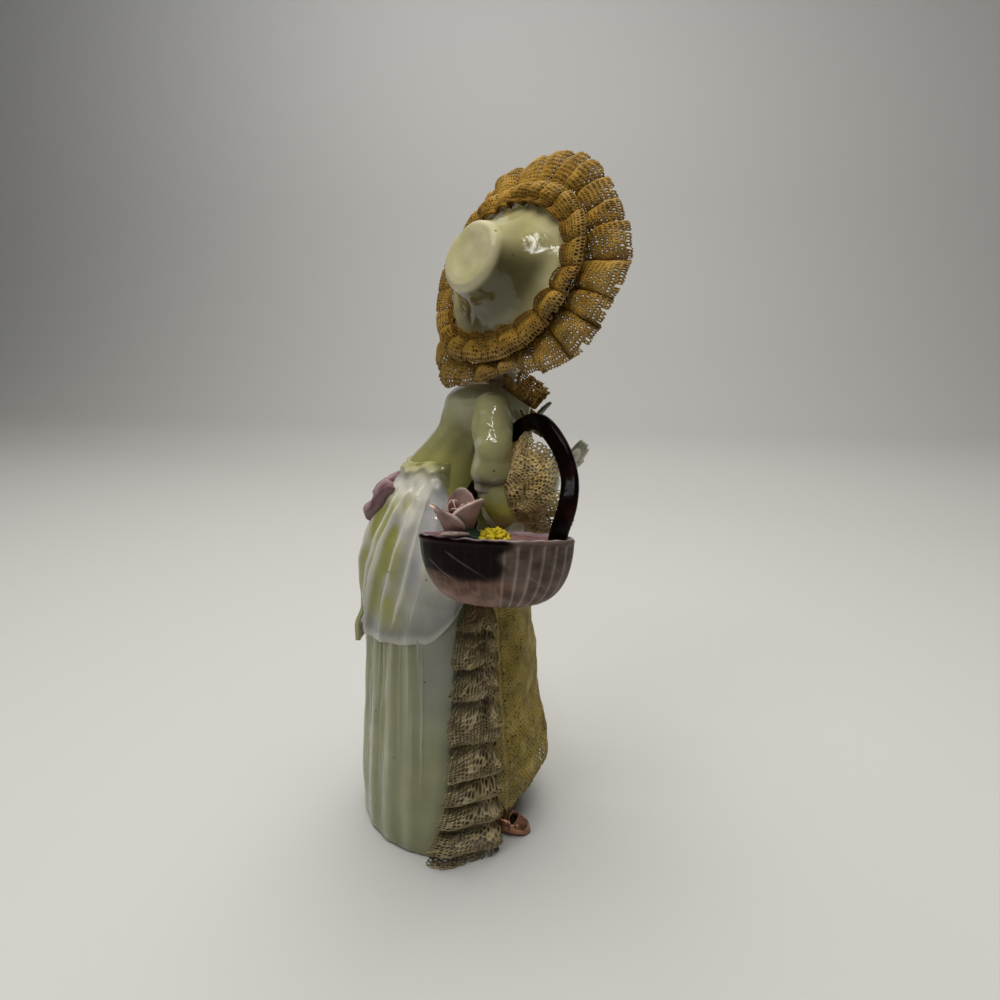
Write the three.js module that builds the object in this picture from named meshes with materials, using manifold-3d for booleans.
// Porcelain lady with a lace-edged hat and a flower basket on her arm, in millimetres, +Z up.
// She faces -Y, her right side is -X, and the origin is the middle of the flat underside.
import * as THREE from 'three';
import { mergeVertices } from 'three/addons/utils/BufferGeometryUtils.js';
import Module from 'manifold-3d';

const wasm = await Module();
wasm.setup();

// Driving sizes
const figureHeight = 190; // floor to the top of the hat's lace
const skirtRadius = 29.5; // porcelain skirt at the floor
const coreRadius = 20; // inner cone behind the raised front hem, at the floor
const brimRadius = 20.5; // porcelain hat brim
const brimThickness = 1.5;
const crownRadius = 10.6; // flat top of the hat's crown
const crownHeight = 12.7; // brim plane to crown top
const hatLaceWidth = 12; // outer row of lace beyond the brim
const hatPuffWidth = 5; // inner row of lace beyond the brim
const hatPuffHeight = 3;
const hatPleats = 24;
const hatPuffs = 16;
const laceThickness = 1.2; // stiff fired lace, taken over its threads and slip
const netThickness = 1.4; // net underskirt with its backing folds
const netHem = 20; // front of the net's hem above the floor
const netSideHem = 8.5; // the hem where it goes under the lace bands
const bandFold = 1.3; // rise and fall of the folds across a skirt band
const bandFolds = 9;
const frillLength = 9.5; // sleeve frill, along the forearm
const frillRadius = 12;
const frillWaves = 8;
const collarWidth = 5;
const collarWaves = 9;
const basketLength = 38.4;
const basketWidth = 17;
const basketDepth = 18;
const dishDepth = 1.3; // from the rim down to the floor of the dish that carries the flowers
const basketLip = 1.6;
const handleWidth = 4.6; // in the plane of the loop
const handleDepth = 3;
const roseRadius = 6.3;
const roseHeight = 12.8;
const flowerRadius = 3.4;
const flowerHeight = 4.2;
const leafLength = 5.6;
const leafThickness = 0.9;
const shoeLength = 14.4;
const shoeWidth = 7.2;
const shoeHeight = 5.8;
const gap = 0.3; // clearance where two pieces meet

const unit = figureHeight / 190; // the figure's own millimetre, for its pose and proportions
const { lerp, smoothstep, clamp, degToRad } = THREE.MathUtils;
const place = (x, y, z) => new THREE.Vector3(x, y, z).multiplyScalar(unit);

// Point round the vertical axis: the angle in degrees starts at the front and grows to her right
function turned(angle, radius, z) {
  const a = degToRad(angle);
  return new THREE.Vector3(-radius * Math.sin(a), -radius * Math.cos(a), z);
}

// Value at x in a short list of [x, value] stations, straight between neighbours
function graded(stations, x) {
  const last = stations.length - 1;
  if (x <= stations[0][0]) return stations[0][1];
  for (let i = 0; i < last; i++) {
    const [x0, v0] = stations[i];
    const [x1, v1] = stations[i + 1];
    if (x <= x1) return lerp(v0, v1, (x - x0) / (x1 - x0));
  }
  return stations[last][1];
}

// Indexed geometry from points and triangles, turned inside out if its volume comes out negative
function closedGeometry(points, faces) {
  let volume = 0;
  for (let i = 0; i < faces.length; i += 3) {
    const [a, b, c] = [points[faces[i]], points[faces[i + 1]], points[faces[i + 2]]];
    volume += a.dot(new THREE.Vector3().crossVectors(b, c));
  }
  const index = volume < 0 ? faces.slice().reverse() : faces;
  const geometry = new THREE.BufferGeometry().setFromPoints(points);
  geometry.setIndex(index);
  geometry.computeVertexNormals();
  return geometry;
}

// Closed body through rings of points with as many points each, its ends closed by fans
function loft(rings) {
  const n = rings[0].length;
  const points = rings.flat();
  const faces = [];
  for (let j = 0; j < rings.length - 1; j++) {
    for (let i = 0; i < n; i++) {
      const a = j * n + i;
      const b = j * n + (i + 1) % n;
      faces.push(a, b, b + n, a, b + n, a + n);
    }
  }
  const middle = (ring) => ring.reduce((sum, p) => sum.add(p), new THREE.Vector3()).divideScalar(n);
  const low = points.push(middle(rings[0])) - 1;
  const high = points.push(middle(rings[rings.length - 1])) - 1;
  const top = (rings.length - 1) * n;
  for (let i = 0; i < n; i++) {
    faces.push(low, (i + 1) % n, i, high, top + i, top + (i + 1) % n);
  }
  return closedGeometry(points, faces);
}

// Closed body between two surfaces of (u, v), open or running round in u
function between(outer, inner, nu, nv, round) {
  const cols = round ? nu : nu + 1;
  const rows = nv + 1;
  const points = [];
  for (const surface of [outer, inner]) {
    for (let i = 0; i < cols; i++) {
      for (let j = 0; j < rows; j++) points.push(surface(i / nu, j / nv));
    }
  }
  const at = (i, j, side) => side * cols * rows + (i % cols) * rows + j;
  const faces = [];
  const quad = (a, b, c, d) => faces.push(a, b, c, a, c, d);
  for (let i = 0; i < nu; i++) {
    for (let j = 0; j < nv; j++) {
      quad(at(i, j, 0), at(i + 1, j, 0), at(i + 1, j + 1, 0), at(i, j + 1, 0));
      quad(at(i, j, 1), at(i, j + 1, 1), at(i + 1, j + 1, 1), at(i + 1, j, 1));
    }
    quad(at(i, 0, 0), at(i, 0, 1), at(i + 1, 0, 1), at(i + 1, 0, 0));
    quad(at(i, nv, 0), at(i + 1, nv, 0), at(i + 1, nv, 1), at(i, nv, 1));
  }
  if (!round) {
    for (let j = 0; j < nv; j++) {
      quad(at(0, j, 0), at(0, j + 1, 0), at(0, j + 1, 1), at(0, j, 1));
      quad(at(nu, j, 0), at(nu, j, 1), at(nu, j + 1, 1), at(nu, j + 1, 0));
    }
  }
  return closedGeometry(points, faces);
}

// Sheet of even thickness about a surface of (u, v)
function sheet(surface, thickness, nu, nv, round = false) {
  const step = 1e-3;
  const side = (sign) => (u, v) => {
    const p = surface(u, v);
    const du = round
      ? surface(u + step, v).sub(surface(u - step, v))
      : surface(Math.min(u + step, 1), v).sub(surface(Math.max(u - step, 0), v));
    const dv = surface(u, Math.min(v + step, 1)).sub(surface(u, Math.max(v - step, 0)));
    const normal = du.cross(dv).normalize();
    return p.addScaledVector(normal, sign * thickness / 2);
  };
  return between(side(1), side(-1), nu, nv, round);
}

// Round limb through stations of a place and a radius, with a rounded end at both
function limb(stations, sides = 12) {
  const centres = stations.map(([p]) => p);
  const rings = [];
  const ring = (centre, axis, radius) => {
    const frame = new THREE.Quaternion().setFromUnitVectors(new THREE.Vector3(0, 0, 1), axis);
    const points = [];
    for (let i = 0; i < sides; i++) {
      const a = 2 * Math.PI * i / sides;
      const p = new THREE.Vector3(Math.cos(a), Math.sin(a), 0).multiplyScalar(radius);
      points.push(p.applyQuaternion(frame).add(centre));
    }
    return points;
  };
  const axisAt = (i) => {
    const before = centres[Math.max(i - 1, 0)];
    const after = centres[Math.min(i + 1, centres.length - 1)];
    return after.clone().sub(before).normalize();
  };
  const end = (i, sign) => {
    const [centre, radius] = stations[i];
    const axis = axisAt(i);
    return ring(centre.clone().addScaledVector(axis, sign * radius * 0.7), axis, radius * 0.6);
  };
  rings.push(end(0, -1));
  stations.forEach(([centre, radius], i) => rings.push(ring(centre, axisAt(i), radius)));
  rings.push(end(stations.length - 1, 1));
  return loft(rings);
}

// Egg-shaped body: half sizes along its own axes, then turned and placed
function egg(centre, halfSizes, turn = new THREE.Euler(), sides = 12, rows = 8) {
  const geometry = new THREE.SphereGeometry(1, sides, rows);
  const frame = new THREE.Quaternion().setFromEuler(turn);
  geometry.applyMatrix4(new THREE.Matrix4().compose(centre, frame, halfSizes));
  return geometry;
}

// Solid for joining and cutting, from a closed geometry
function toSolid(geometry) {
  const bare = geometry.clone();
  bare.deleteAttribute('normal');
  if (bare.hasAttribute('uv')) bare.deleteAttribute('uv');
  const merged = mergeVertices(bare, 1e-4);
  const vertProperties = new Float32Array(merged.attributes.position.array);
  const triVerts = new Uint32Array(merged.index.array);
  return new wasm.Manifold(new wasm.Mesh({ numProp: 3, vertProperties, triVerts }));
}

// Geometry of a joined or cut solid
function toGeometry(solid) {
  const mesh = solid.getMesh();
  const geometry = new THREE.BufferGeometry();
  geometry.setAttribute('position', new THREE.BufferAttribute(mesh.vertProperties, 3));
  geometry.setIndex(new THREE.BufferAttribute(mesh.triVerts, 1));
  geometry.computeVertexNormals();
  return geometry;
}

const joined = (geometries) => geometries.map(toSolid).reduce((all, one) => all.add(one));

// Skirt, its front opening and what hangs in it

const skirtTop = 108 * unit;
const skirtShares = [[0, 1], [14, 0.99], [32, 0.95], [53, 0.885], [75, 0.805], [95, 0.64], [108, 0.44]];
const skirtAt = (z) => skirtRadius * graded(skirtShares, z / unit);

// Angle at which the porcelain skirt ends and the lace begins
const edgeAt = (z) => graded([[0, 93], [19, 85], [49, 81], [72, 77], [108, 60]], z / unit);
const netReach = 57; // the net runs this many degrees to each side of the front
const bandFront = 52; // front edge of each lace band, in degrees from the front

// The skirt flattens towards its opening, so its front is narrower than its round back
function openingAt(angle, z) {
  return skirtAt(z) * lerp(0.87, 1, smoothstep(angle, 45, edgeAt(z)));
}

// Front of the net underskirt as it bells out above its hem
const netFrontShares = [[0, 0.9], [14, 0.938], [21, 0.962], [25, 0.943], [30, 0.909], [36, 0.871],
  [43, 0.835], [50, 0.826], [56, 0.809], [62, 0.775], [72, 0.745], [85, 0.72], [104, 0.66]];

// Net radius: full at the front, tucked under the lace bands at both sides
function netAt(angle, z) {
  const side = openingAt(netReach, z) - netThickness / 2 - gap;
  const front = skirtRadius * graded(netFrontShares, z / unit);
  const across = 1 - (angle / netReach) ** 2;
  const sway = 0.35 * unit * Math.sin(degToRad(angle) * 9 + z / unit / 14);
  return lerp(side, front, clamp(across, 0, 1)) + sway;
}

// Skirt folds hang from the waist, deep behind and smooth towards the lace edge
function skirtFold(angle, z) {
  const a = Math.abs(angle);
  const depth = 1.3 * unit * smoothstep(a, 96, 122) * lerp(1, 0.7, z / skirtTop);
  const wave = 0.5 + 0.5 * Math.cos(degToRad(a + 3 * Math.sin(degToRad(3 * a))) * 20);
  return depth * (wave ** 1.5 - 0.5);
}

function skirtSurface(angle, z) {
  const a = Math.abs(angle);
  const edge = edgeAt(z);
  const cloth = skirtAt(z) + skirtFold(angle, z);
  const backing = netAt(Math.min(a, netReach), z) - netThickness / 2 - gap - 1.2 * unit;
  const raised = smoothstep(z, 12 * unit, 21 * unit);
  const core = lerp(coreRadius, backing, raised);
  return lerp(core, cloth, smoothstep(a, edge - 5, edge));
}

function skirtBody() {
  const sides = 48;
  const heights = [0, 12, 21, 30, 56, 80, 108].map((z) => z * unit);
  const rings = heights.map((z) => {
    const ring = [];
    for (let i = 0; i < sides; i++) {
      const angle = -180 + 360 * i / sides;
      ring.push(turned(angle, skirtSurface(angle, z), z));
    }
    return ring;
  });
  return loft(rings);
}

// Overskirt drape, bunched up behind and swept open at the front

const drapeTop = 110 * unit;
const drapeHem = [[25, 109], [40, 103], [50, 95], [60, 88], [70, 80.5], [76, 75], [84, 68], [95, 64.5],
  [115, 62], [140, 60], [180, 58]];
const drapeBack = [[57, 0.935], [64, 0.992], [72, 1.01], [78, 0.99], [85, 0.945], [92, 0.865], [98, 0.76],
  [104, 0.63], [110, 0.48]];
const drapeSide = [[57, 0.9], [64, 0.885], [72, 0.865], [78, 0.845], [85, 0.81], [92, 0.75], [98, 0.66],
  [104, 0.55], [110, 0.43]];
const drapeFront = [[57, 0.85], [78, 0.835], [85, 0.82], [92, 0.8], [98, 0.755], [104, 0.66], [110, 0.52]];

const drapeHemAt = (angle) => unit * graded(drapeHem, Math.abs(angle));

function drapeAt(angle, z) {
  const a = Math.abs(angle);
  const h = z / unit;
  const back = graded(drapeBack, h);
  const side = graded(drapeSide, h);
  const front = graded(drapeFront, h);
  const share = a > 90 ? lerp(side, back, smoothstep(a, 90, 165)) : lerp(front, side, smoothstep(a, 35, 75));
  const fall = (drapeTop - z) / unit;
  const wave = 0.5 + 0.5 * Math.cos(degToRad(a - 0.5 * fall) * 17);
  const depth = 2 * unit * smoothstep(fall, 0, 14) * smoothstep(a, 40, 75);
  return skirtRadius * share + depth * (wave ** 2 - 0.4);
}

function drapeBody() {
  const sides = 48;
  const shares = [0, 0.25, 0.5, 0.75, 1];
  const ringAt = (share, inset, lift) => {
    const ring = [];
    for (let i = 0; i < sides; i++) {
      const angle = -180 + 360 * i / sides;
      const z = lerp(drapeTop, drapeHemAt(angle), share);
      const hidden = smoothstep(Math.abs(angle), 27, 36);
      const radius = lerp(skirtRadius * 0.4, drapeAt(angle, z), hidden) - inset;
      ring.push(turned(angle, radius, z + lift));
    }
    return ring;
  };
  const rings = shares.map((share) => ringAt(share, 0, 0));
  rings.push(ringAt(1, 2 * unit, 0.6 * unit));
  rings.push(ringAt(1, 9 * unit, 5 * unit));
  return loft(rings);
}

// Bow at the back of the waist, and the two sash ends that hang from it

function bow() {
  const lean = new THREE.Euler(-0.75, 0, 0);
  const parts = [egg(place(0, 21.5, 102), place(3.2, 3, 3.8), lean, 8, 5)];
  for (const side of [-1, 1]) {
    const turn = new THREE.Euler(-0.75, 0, side * -0.25);
    parts.push(egg(place(side * 7.6, 20.6, 101), place(7.4, 3.4, 5.6), turn, 10, 6));
  }
  return parts;
}

function sashEnd(side) {
  const top = 99 * unit;
  const foot = 53.5 * unit;
  const surface = (lift) => (u, v) => {
    const z = lerp(top, foot, u);
    const angle = 180 - side * (3 + 3 * u);
    const hang = skirtRadius * 1.01;
    const radius = (z < 74 * unit ? Math.max(drapeAt(180, z), hang) : drapeAt(180, z)) + lift;
    const across = lerp(-3.4, 3.4, v) * unit * (0.8 + 0.35 * u);
    return turned(angle, radius, z).add(new THREE.Vector3(side * across, 0, 0));
  };
  return between(surface(0.8 * unit), surface(-0.9 * unit), 7, 1, false);
}

// Bodice, neck and head

// Height, middle from back to front, half width, half depth
const torsoStations = [[100, -2, 15, 17], [109, -2.6, 12.4, 16.8], [116, -5.6, 11, 13.4],
  [121, -8.4, 11.2, 12.4], [126, -10, 12, 12.2], [130, -10.4, 12.4, 11.2], [132.2, -11.2, 10.4, 8.8],
  [134, -12, 7, 6.2]];

// Point on the bodice at an angle from her left side, and a height in her own millimetres
function torsoPoint(angle, height) {
  const column = (k) => graded(torsoStations.map((row) => [row[0], row[k]]), height);
  return place(column(2) * Math.cos(angle), column(1) + column(3) * Math.sin(angle), height);
}

function torso() {
  const sides = 14;
  const turns = Array.from({ length: sides }, (_, i) => 2 * Math.PI * i / sides);
  return loft(torsoStations.map(([height]) => turns.map((a) => torsoPoint(a, height))));
}

const headCentre = place(-3, -21.4, 153.5);
const headTurn = new THREE.Euler(0.15, 0, degToRad(30), 'ZXY'); // to her left, and a little down
const headFrame = new THREE.Quaternion().setFromEuler(headTurn);
const onHead = (x, y, z) => place(x, y, z).applyQuaternion(headFrame).add(headCentre);

function head() {
  const parts = [
    limb([[place(0, -12.5, 132), 5.6 * unit], [place(-0.8, -14.8, 138), 4.8 * unit],
      [onHead(0, 2.5, -6), 4.8 * unit]], 10),
    egg(headCentre, place(8.6, 9.8, 10.2), headTurn, 10, 7),
    egg(onHead(0, -2.4, -4.6), place(6.4, 6.6, 6.6), headTurn, 10, 6),
    egg(onHead(0, -9.2, -1.2), place(1.3, 2, 2.6), headTurn, 6, 4),
    egg(onHead(0, -8, -6), place(2, 1.2, 0.9), headTurn, 6, 4),
    egg(onHead(0, 1.2, 1.4), place(9.6, 10.4, 10.6), headTurn, 10, 6),
    egg(onHead(0, 8.6, -5.8), place(4.4, 4, 4.4), headTurn, 7, 5)];
  for (const side of [-1, 1]) {
    parts.push(egg(onHead(side * 8.2, -2.5, -1.5), place(2.1, 3.4, 5.4), headTurn, 6, 4));
    parts.push(egg(onHead(side * 7.8, 1.5, -8), place(2.2, 2.6, 3.8), headTurn, 5, 4));
  }
  return parts;
}

// Hat: its own axis points from the face out through the crown

const hatCentre = place(-9, -17.7, 161.7);
const hatAxis = new THREE.Vector3(-0.715, 0.593, 0.371).normalize();
const hatUp = new THREE.Vector3(0, -0.52, 0.854).projectOnPlane(hatAxis).normalize();
const hatSide = new THREE.Vector3().crossVectors(hatUp, hatAxis);

// Point on the hat from an angle round it, a radius, and a height along its axis
function onHat(turn, radius, height) {
  const p = hatCentre.clone().addScaledVector(hatAxis, height);
  p.addScaledVector(hatUp, radius * Math.cos(turn));
  return p.addScaledVector(hatSide, radius * Math.sin(turn));
}

// Height of the porcelain above the brim plane, where the crown flares into the brim
const flare = [[0.7, 0.32], [0.8, 0.17], [0.92, 0.06], [1, 0.03]];
const brimTopAt = (radius) => brimThickness / 2 + crownHeight * graded(flare, radius / brimRadius);

function hat() {
  const profile = [[0, crownHeight - 0.4], [crownRadius * 0.9, crownHeight], [crownRadius, crownHeight - 0.9],
     [crownRadius * 1.06, crownHeight * 0.72], [crownRadius * 1.18, crownHeight * 0.5]];
  for (const [share] of flare) profile.push([brimRadius * share, brimTopAt(brimRadius * share)]);
  profile.push([brimRadius, -brimThickness / 2], [0, -brimThickness / 2]);
  const lathe = new THREE.LatheGeometry(profile.map(([r, h]) => new THREE.Vector2(r, h)).reverse(), 24);
  const frame = new THREE.Matrix4().makeBasis(hatSide, hatAxis, hatUp.clone().negate());
  frame.setPosition(hatCentre);
  const turned = lathe.applyMatrix4(frame);
  if (frame.determinant() < 0) turned.setIndex(Array.from(turned.index.array).reverse());
  return turned;
}

// Reach of the outer row: longer low at the back, pressed in beside the shoulder
function hatLaceReach(turn) {
  const long = 1.4 * Math.cos(turn - degToRad(250));
  const away = Math.atan2(Math.sin(turn - degToRad(142)), Math.cos(turn - degToRad(142)));
  const pressed = 5.4 * Math.exp(-((away / 0.5) ** 2));
  return brimRadius + hatLaceWidth + (long - pressed) * unit;
}

const hatLaceFall = 0.5; // slope of the outer row, back from the crown
const hatLaceRise = (radius) => 2.3 * unit * smoothstep(radius, brimRadius, brimRadius + hatLaceWidth);
const hatLaceUnder = -brimThickness / 2 - 1.5 * gap - laceThickness / 2;

// The row falls away from the crown, but lies up against the shoulder where it meets it
function hatLaceHeight(turn, radius) {
  const meet = 0.5 + 0.5 * Math.cos(turn - degToRad(165));
  const fall = hatLaceFall * (1 - meet ** 3);
  return hatLaceUnder - fall * Math.max(radius - brimRadius, 0);
}

function outerHatLace() {
  const inner = brimRadius - 3;
  const surface = (u, v) => {
    const turn = 2 * Math.PI * u;
    const radius = lerp(inner, hatLaceReach(turn), v);
    const pleat = 2 * Math.abs(Math.sin(hatPleats / 2 * turn)) ** 0.5 - 1; // round lobe, sharp crease
    return onHat(turn, radius, hatLaceHeight(turn, radius) + pleat * hatLaceRise(radius));
  };
  return sheet(surface, laceThickness, hatPleats * 4, 2, true);
}

function innerHatLace() {
  const puffAt = (turn) => Math.abs(Math.sin(hatPuffs / 2 * turn + 0.3)) ** 0.8;
  const widths = [[0, brimRadius * 0.93], [1 / 3, brimRadius + gap], [1, brimRadius + hatPuffWidth]];
  const under = (u, v) => {
    const turn = 2 * Math.PI * u;
    const radius = graded(widths, v) + puffAt(turn) * v;
    const overBrim = brimTopAt(Math.min(radius, brimRadius)) + 2 * gap;
    const overLace = hatLaceHeight(turn, radius) + hatLaceRise(radius) + laceThickness * 0.8 + gap;
    return onHat(turn, radius, v < 0.5 ? overBrim : overLace);
  };
  const over = (u, v) => {
    const crest = hatPuffHeight * puffAt(2 * Math.PI * u) * Math.sin(Math.PI * (0.3 + 0.6 * v));
    return under(u, v).addScaledVector(hatAxis, laceThickness + crest);
  };
  return between(over, under, hatPuffs * 3, 3, true);
}

// Arms: a short sleeve with a full cuff, a bare forearm and an open hand

const rightArm = {
  shoulder: place(-12.4, -13.4, 128.8),
  middle: place(-18.8, -14.4, 121),
  cuff: place(-21.8, -14.4, 112.5),
  elbow: place(-22.2, -13.8, 107),
  wrist: place(-10.4, -32, 112),
  palm: place(-8.6, -35.6, 114.6),
  fingers: place(-0.4, -0.62, 1),
};
const leftArm = {
  shoulder: place(12.4, -13.4, 128.8),
  middle: place(18, -13.2, 121),
  cuff: place(21, -11.4, 113),
  elbow: place(22, -10, 107.4),
  wrist: place(26.5, -19.5, 96.5),
  palm: place(26.8, -22.4, 94.2),
  fingers: place(-0.3, -0.6, -0.8),
};

function finger(root, tip) {
  const axis = tip.clone().sub(root).normalize();
  const ring = (centre, radius) => {
    const frame = new THREE.Quaternion().setFromUnitVectors(new THREE.Vector3(0, 0, 1), axis);
    return [0, 1, 2, 3].map((i) => {
      const a = 2 * Math.PI * i / 4;
      const p = new THREE.Vector3(Math.cos(a), Math.sin(a), 0).multiplyScalar(radius);
      return p.applyQuaternion(frame).add(centre);
    });
  };
  return loft([ring(root, 0.95 * unit), ring(tip, 0.6 * unit)]);
}

function arm(points) {
  const { shoulder, middle, cuff, elbow, wrist, palm } = points;
  const down = elbow.clone().sub(cuff).normalize();
  const along = palm.clone().sub(wrist).normalize();
  const reach = points.fingers.clone().normalize();
  const across = new THREE.Vector3().crossVectors(reach, along).normalize();
  const gathered = cuff.clone().addScaledVector(down, -3 * unit);
  const hem = cuff.clone().addScaledVector(down, 2.4 * unit);
  const parts = [
    limb([[shoulder, 5 * unit], [middle, 5.1 * unit], [gathered, 5.2 * unit], [cuff, 6.2 * unit],
      [hem, 5.6 * unit]], 8),
    limb([[cuff, 3.4 * unit], [elbow, 3.5 * unit], [elbow.clone().lerp(wrist, 0.5), 3.1 * unit],
      [wrist, 2.3 * unit]], 7),
    limb([[wrist, 2.2 * unit], [palm.clone().addScaledVector(reach, unit), 2.6 * unit]], 6)];
  for (let i = 0; i < 4; i++) {
    const root = palm.clone().addScaledVector(reach, 1.5 * unit);
    root.addScaledVector(across, (i - 1.5) * 1.25 * unit);
    const tip = root.clone().addScaledVector(reach, (4.6 - 0.5 * Math.abs(i - 1)) * unit);
    tip.addScaledVector(along, (0.4 + 0.35 * i) * unit);
    parts.push(finger(root, tip));
  }
  const thumbTip = palm.clone().addScaledVector(across, -3 * unit).addScaledVector(along, 2.4 * unit);
  parts.push(finger(wrist.clone().lerp(palm, 0.6), thumbTip));
  return parts;
}

// Shoe that peeps out under the net, pointed forward and a little outward
function shoe(side) {
  const rings = [];
  const stations = [[0, 0.9, 1], [0.35, 1, 0.95], [0.65, 0.95, 0.75], [0.88, 0.7, 0.55], [1, 0.3, 0.3]];
  for (const [share, wide, high] of stations) {
    const ring = [];
    for (let i = 0; i < 10; i++) {
      const a = 2 * Math.PI * i / 10;
      const x = shoeWidth / 2 * wide * Math.cos(a);
      const z = shoeHeight * high * clamp(0.5 + 0.62 * Math.sin(a), 0, 1);
      ring.push(new THREE.Vector3(x, -shoeLength * share, z));
    }
    rings.push(ring);
  }
  const geometry = loft(rings);
  geometry.rotateZ(side * degToRad(6));
  geometry.translate(side * 13 * unit, -10.6 * unit, 0);
  return geometry;
}

function figure() {
  const parts = [skirtBody(), drapeBody(), ...bow(), sashEnd(-1), sashEnd(1), torso(), ...head(), hat(),
    ...arm(rightArm), ...arm(leftArm), shoe(-1), shoe(1)];
  return toGeometry(joined(parts));
}

// Lace band down one edge of the skirt opening, folded across its width
function skirtBand(side) {
  const surface = (u, v) => {
    const topAngle = lerp(bandFront, edgeAt(75 * unit) + 1, v);
    const top = Math.min(84 * unit, drapeHemAt(topAngle) - 2 * laceThickness);
    const z = lerp(laceThickness, top, u);
    const angle = lerp(bandFront, edgeAt(z) + 1.5, v);
    const fold = Math.sin(2 * Math.PI * (bandFolds * u + 0.25 * Math.sin(7 * u)) + 1.4 * v);
    const clear = laceThickness / 2 + gap + unit + bandFold;
    return turned(side * angle, openingAt(angle, z) + clear + bandFold * fold, z);
  };
  return sheet(surface, laceThickness, bandFolds * 3, 2);
}

function netPanel() {
  const surface = (u, v) => {
    const angle = lerp(-netReach, netReach, v);
    const top = Math.min(98 * unit, drapeHemAt(angle) - netThickness - gap);
    const hem = lerp(netHem, netSideHem, Math.abs(angle) / netReach);
    const z = lerp(hem, top, u);
    return turned(angle, netAt(angle, z), z);
  };
  return sheet(surface, netThickness, 8, 10);
}

// Lace frill round a forearm, opening towards the hand
function sleeveFrill(points) {
  const axis = points.wrist.clone().sub(points.elbow).normalize();
  const up = new THREE.Vector3(0, 0, 1).projectOnPlane(axis).normalize();
  const side = new THREE.Vector3().crossVectors(up, axis);
  const start = 7.8 * unit;
  const surface = (u, v) => {
    const turn = 2 * Math.PI * u;
    const radius = lerp(3.5 * unit + laceThickness / 2 + gap, frillRadius * (1 - 0.13 * Math.cos(turn)), v);
    const wave = 1.6 * v * Math.sin(frillWaves * turn);
    const p = points.elbow.clone().addScaledVector(axis, start + frillLength * v + wave);
    return p.addScaledVector(up, radius * Math.cos(turn)).addScaledVector(side, radius * Math.sin(turn));
  };
  return sheet(surface, laceThickness, frillWaves * 3, 2, true);
}

// Lace ruffle along the neckline, from one shoulder round the front to the other
function collar() {
  const surface = (u, v) => {
    const angle = degToRad(lerp(-62, 62, u));
    const front = Math.cos(angle) ** 2;
    const wave = 0.9 * Math.sin(2 * Math.PI * collarWaves * u) * v;
    const low = 134.7 - 8.7 * front;
    const base = torsoPoint(-Math.PI / 2 - angle, low);
    const out = new THREE.Vector3(-Math.sin(angle), -Math.cos(angle), 0);
    const rise = collarWidth * (0.55 + 0.5 * front) * v - 0.5 * wave;
    base.z += rise;
    return base.addScaledVector(out, laceThickness / 2 + 2 * gap + collarWidth * 0.75 * v + wave);
  };
  return sheet(surface, laceThickness, collarWaves * 3, 1);
}

// Basket: a boat-shaped bowl, woven outside, with a shallow dish in its top

const basketCentre = new THREE.Vector3(-25.4 * unit - basketWidth / 2, -17.4 * unit, 99.5 * unit);
const dishFloor = basketCentre.z - dishDepth;

// Flower, leaf and rose stand in a row about the middle of the dish
const leafY = basketCentre.y + 3;
const flowerY = leafY - leafLength / 2 - 1.8;
const roseY = leafY + leafLength / 2 + 3.9;

function basketRing(share, inset) {
  const sides = 24;
  const belly = (1 - share ** 2.4) ** 0.5;
  const ring = [];
  for (let i = 0; i < sides; i++) {
    const a = 2 * Math.PI * i / sides;
    const rib = share > 0.02 && share < 0.9 && inset === 0 ? 0.35 * (i % 2) : 0;
    const x = (basketWidth / 2 * (0.35 + 0.65 * belly) - inset - rib) * Math.cos(a);
    const y = (basketLength / 2 * (0.4 + 0.6 * belly) - inset - rib) * Math.sin(a);
    const saddle = 0.9 * unit * Math.sin(a) ** 2 * (1 - share);
    ring.push(new THREE.Vector3(x, y, saddle - basketDepth * share).add(basketCentre));
  }
  return ring;
}

function basket() {
  const floor = (inset) => basketRing(0, inset).map((p) => p.setZ(dishFloor));
  const rings = [1, 0.93, 0.75, 0.5, 0.25, 0.06, 0].map((share) => basketRing(share, 0));
  rings.push(basketRing(0, basketLip), floor(basketLip + 0.6));
  return loft(rings);
}

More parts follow.
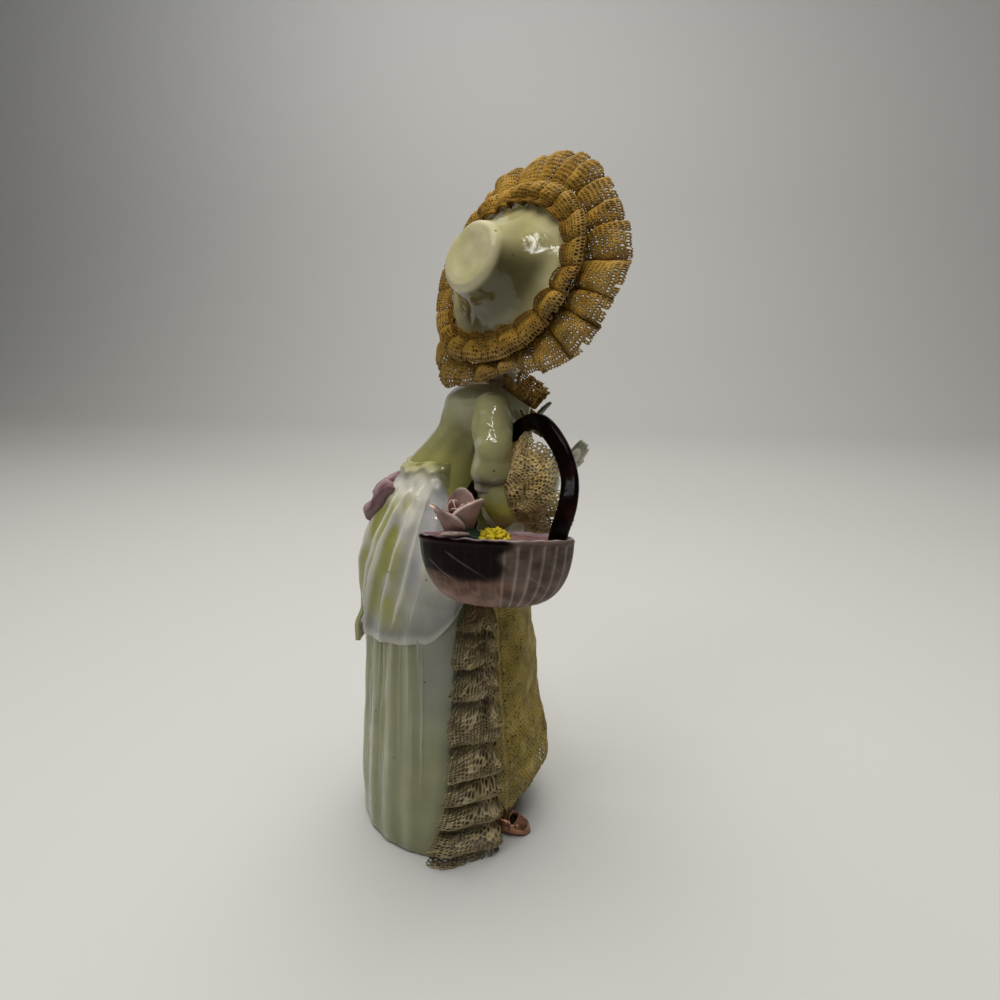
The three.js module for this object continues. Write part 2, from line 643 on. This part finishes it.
// Handle: a rounded strap that rises from the far end, over the forearm and down behind the elbow
function handle() {
  const farY = basketCentre.y - basketLength / 2 + basketLip + handleWidth / 2 + 1.6;
  const far = new THREE.Vector3(basketCentre.x + 0.6, farY, dishFloor + gap);
  const nearX = basketCentre.x + basketWidth / 2 - handleDepth / 2 - 0.8;
  const near = new THREE.Vector3(nearX, basketCentre.y + 8 * unit, basketCentre.z + 2 * gap);
  const route = [far, far.clone().add(place(0, -0.3, 3)), far.clone().add(place(0.8, -1.6, 9)),
    place(-29, -34, 113), place(-24.4, -31.4, 120.6), place(-19, -26.4, 125.2), place(-14.4, -22.6, 124),
    place(-12, -18.2, 120), place(-11.6, -14.4, 115), place(-13.9, -11.4, 109.4), place(-19.4, -8.2, 104.4),
    near.clone().add(place(0.9, 0, 3.2)), near];
  const path = new THREE.CatmullRomCurve3(route, false, 'centripetal');
  const heart = place(-21, -20, 108);
  const [halfWidth, halfDepth, bevel] = [handleWidth / 2, handleDepth / 2, handleDepth * 0.28];
  const corners = [[halfWidth - bevel, -halfDepth], [halfWidth, bevel - halfDepth],
    [halfWidth, halfDepth - bevel], [halfWidth - bevel, halfDepth], [bevel - halfWidth, halfDepth],
    [-halfWidth, halfDepth - bevel], [-halfWidth, bevel - halfDepth], [bevel - halfWidth, -halfDepth]];
  const steps = 18;
  const rings = [];
  for (let i = 0; i <= steps; i++) {
    const centre = path.getPointAt(i / steps);
    const along = i === 0 || i === steps ? new THREE.Vector3(0, 0, 1) : path.getTangentAt(i / steps);
    if (i === steps) along.negate();
    const outward = centre.clone().sub(heart).setX(0).projectOnPlane(along).normalize();
    const deep = new THREE.Vector3().crossVectors(along, outward);
    rings.push(corners.map(([w, d]) => centre.clone().addScaledVector(outward, w).addScaledVector(deep, d)));
  }
  return loft(rings);
}

// Rose: rings of five pointed petals about a tight bud, open upwards
function rose() {
  const foot = new THREE.Vector3(basketCentre.x - 1, roseY, dishFloor + gap);
  const sides = 15;
  // Share of the radius, share of the height, rise of the petal tips, and turn of the petals
  const stations = [[0.4, 0, 0, 0], [0.66, 0.16, 0, 0], [0.86, 0.42, 0.04, 0], [0.97, 0.6, 0.13, 0],
    [0.72, 0.5, 0.08, 0], [0.5, 0.48, 0, 0.5], [0.56, 0.78, 0.1, 0.5], [0.36, 0.68, 0.06, 0.5],
    [0.2, 0.72, 0, 0], [0.14, 0.94, 0, 0]];
  const rings = stations.map(([wide, high, tip, phase]) => {
    const ring = [];
    for (let i = 0; i < sides; i++) {
      const a = 2 * Math.PI * i / sides;
      const lobe = Math.cos(5 * a + 2 * Math.PI * phase);
      const radius = roseRadius * wide * (1 + 0.9 * tip * lobe);
      const height = roseHeight * (high + tip * lobe);
      ring.push(new THREE.Vector3(radius * Math.cos(a), radius * Math.sin(a), height).add(foot));
    }
    return ring;
  });
  return loft(rings);
}

// Small yellow flower: a cup of rounded petals on a narrow foot, round a raised heart
function smallFlower() {
  const centre = new THREE.Vector3(basketCentre.x - basketWidth * 0.12, flowerY, dishFloor + gap);
  const rings = [];
  const sides = 15;
  for (const [share, height] of [[0.36, 0], [0.36, 0.5], [0.9, 0.66], [1, 0.86], [0.45, 0.74], [0.3, 0.96]]) {
    const ring = [];
    for (let i = 0; i < sides; i++) {
      const a = 2 * Math.PI * i / sides;
      const lobe = 1 + 0.14 * share * Math.cos(5 * a);
      const p = new THREE.Vector3(Math.cos(a), Math.sin(a), 0).multiplyScalar(flowerRadius * share * lobe);
      ring.push(p.setZ(flowerHeight * height).add(centre));
    }
    rings.push(ring);
  }
  return loft(rings);
}

// Pointed leaf, folded a little along its midrib
function leaf(centre, turn, tilt, length) {
  const surface = (u, v) => {
    const across = lerp(-1, 1, v);
    const broad = length * 0.3 * Math.sin(Math.PI * (0.1 + 0.86 * u)) ** 0.9;
    const x = length * (u - 0.5);
    return new THREE.Vector3(x, across * broad, Math.abs(across) * broad * 0.35 + leafThickness / 2);
  };
  const geometry = sheet(surface, leafThickness, 5, 2);
  geometry.rotateY(tilt);
  geometry.rotateZ(turn);
  geometry.translate(centre.x, centre.y, centre.z);
  return geometry;
}

function basketLeaf() {
  const centre = new THREE.Vector3(basketCentre.x - basketWidth * 0.2, leafY, dishFloor + gap + 0.8);
  return leaf(centre, degToRad(75), degToRad(-8), leafLength);
}

function breastLeaf() {
  return leaf(place(-0.5, -26, 125), degToRad(-95), degToRad(-50), leafLength);
}

// The whole object, one mesh for each physical piece

const model = new THREE.Group();

function add(name, geometry, colour, roughness, metalness = 0) {
  const material = new THREE.MeshStandardMaterial({ color: colour, roughness, metalness });
  const mesh = new THREE.Mesh(geometry, material);
  mesh.name = name;
  model.add(mesh);
}

add('figure', figure(), '#b4b79a', 0.15);
add('hat_lace_outer', outerHatLace(), '#8f6f3a', 0.75);
add('hat_lace_inner', innerHatLace(), '#96783f', 0.75);
add('skirt_lace_right', skirtBand(1), '#968769', 0.75);
add('skirt_lace_left', skirtBand(-1), '#968769', 0.75);
add('net_underskirt', netPanel(), '#7a6a36', 0.7);
add('sleeve_frill_right', sleeveFrill(rightArm), '#968769', 0.75);
add('sleeve_frill_left', sleeveFrill(leftArm), '#968769', 0.75);
add('collar_lace', collar(), '#8f7748', 0.75);
add('basket', basket(), '#4b2c28', 0.2);
add('basket_handle', handle(), '#140a09', 0.12);
add('basket_rose', rose(), '#b08f88', 0.4);
add('basket_flower', smallFlower(), '#b9aa28', 0.4);
add('basket_leaf', basketLeaf(), '#323f2d', 0.35);
add('breast_leaf', breastLeaf(), '#6a6f58', 0.4);

export default model;
